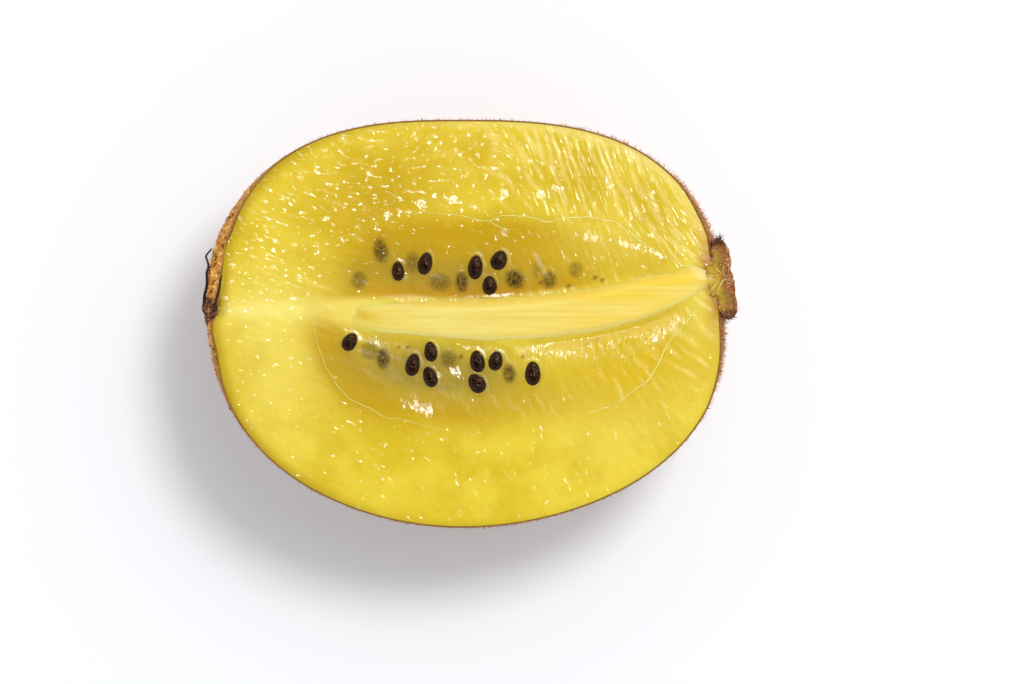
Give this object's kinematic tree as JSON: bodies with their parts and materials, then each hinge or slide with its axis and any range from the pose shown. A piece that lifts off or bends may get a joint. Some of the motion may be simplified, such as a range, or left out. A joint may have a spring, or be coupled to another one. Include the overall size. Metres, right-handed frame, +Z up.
{
  "type": "golden kiwi fruit half",
  "caption": "Half of a golden kiwi fruit cut lengthwise, cut face up, with its skin, yellow flesh with dark seeds, pale core, woody stem scar and dry blossom end.",
  "frame": {"origin": "on the surface that the half lies on, under the middle of its box", "axes": "+X from the blossom end to the stem end along the fruit's length, +Y across the cut face, +Z up out of the cut face"},
  "size_m": [0.0626, 0.0474, 0.0232],
  "materials": {
    "skin": "dull thin brown peel with short hairs",
    "flesh": "wet translucent yellow flesh with fine rays",
    "core": "moist pale yellow fibrous core",
    "seed": "wet glossy black-brown seeds, in the flesh node",
    "stem_scar": "rough dry bark-like brown",
    "blossom_knot": "dry dark threads"
  },
  "bodies": {
    "root": {"skin": "skin", "flesh": "flesh", "core": "core", "stem_scar": "stem_scar", "blossom_knot": "blossom_knot"}
  },
  "joints": []
}
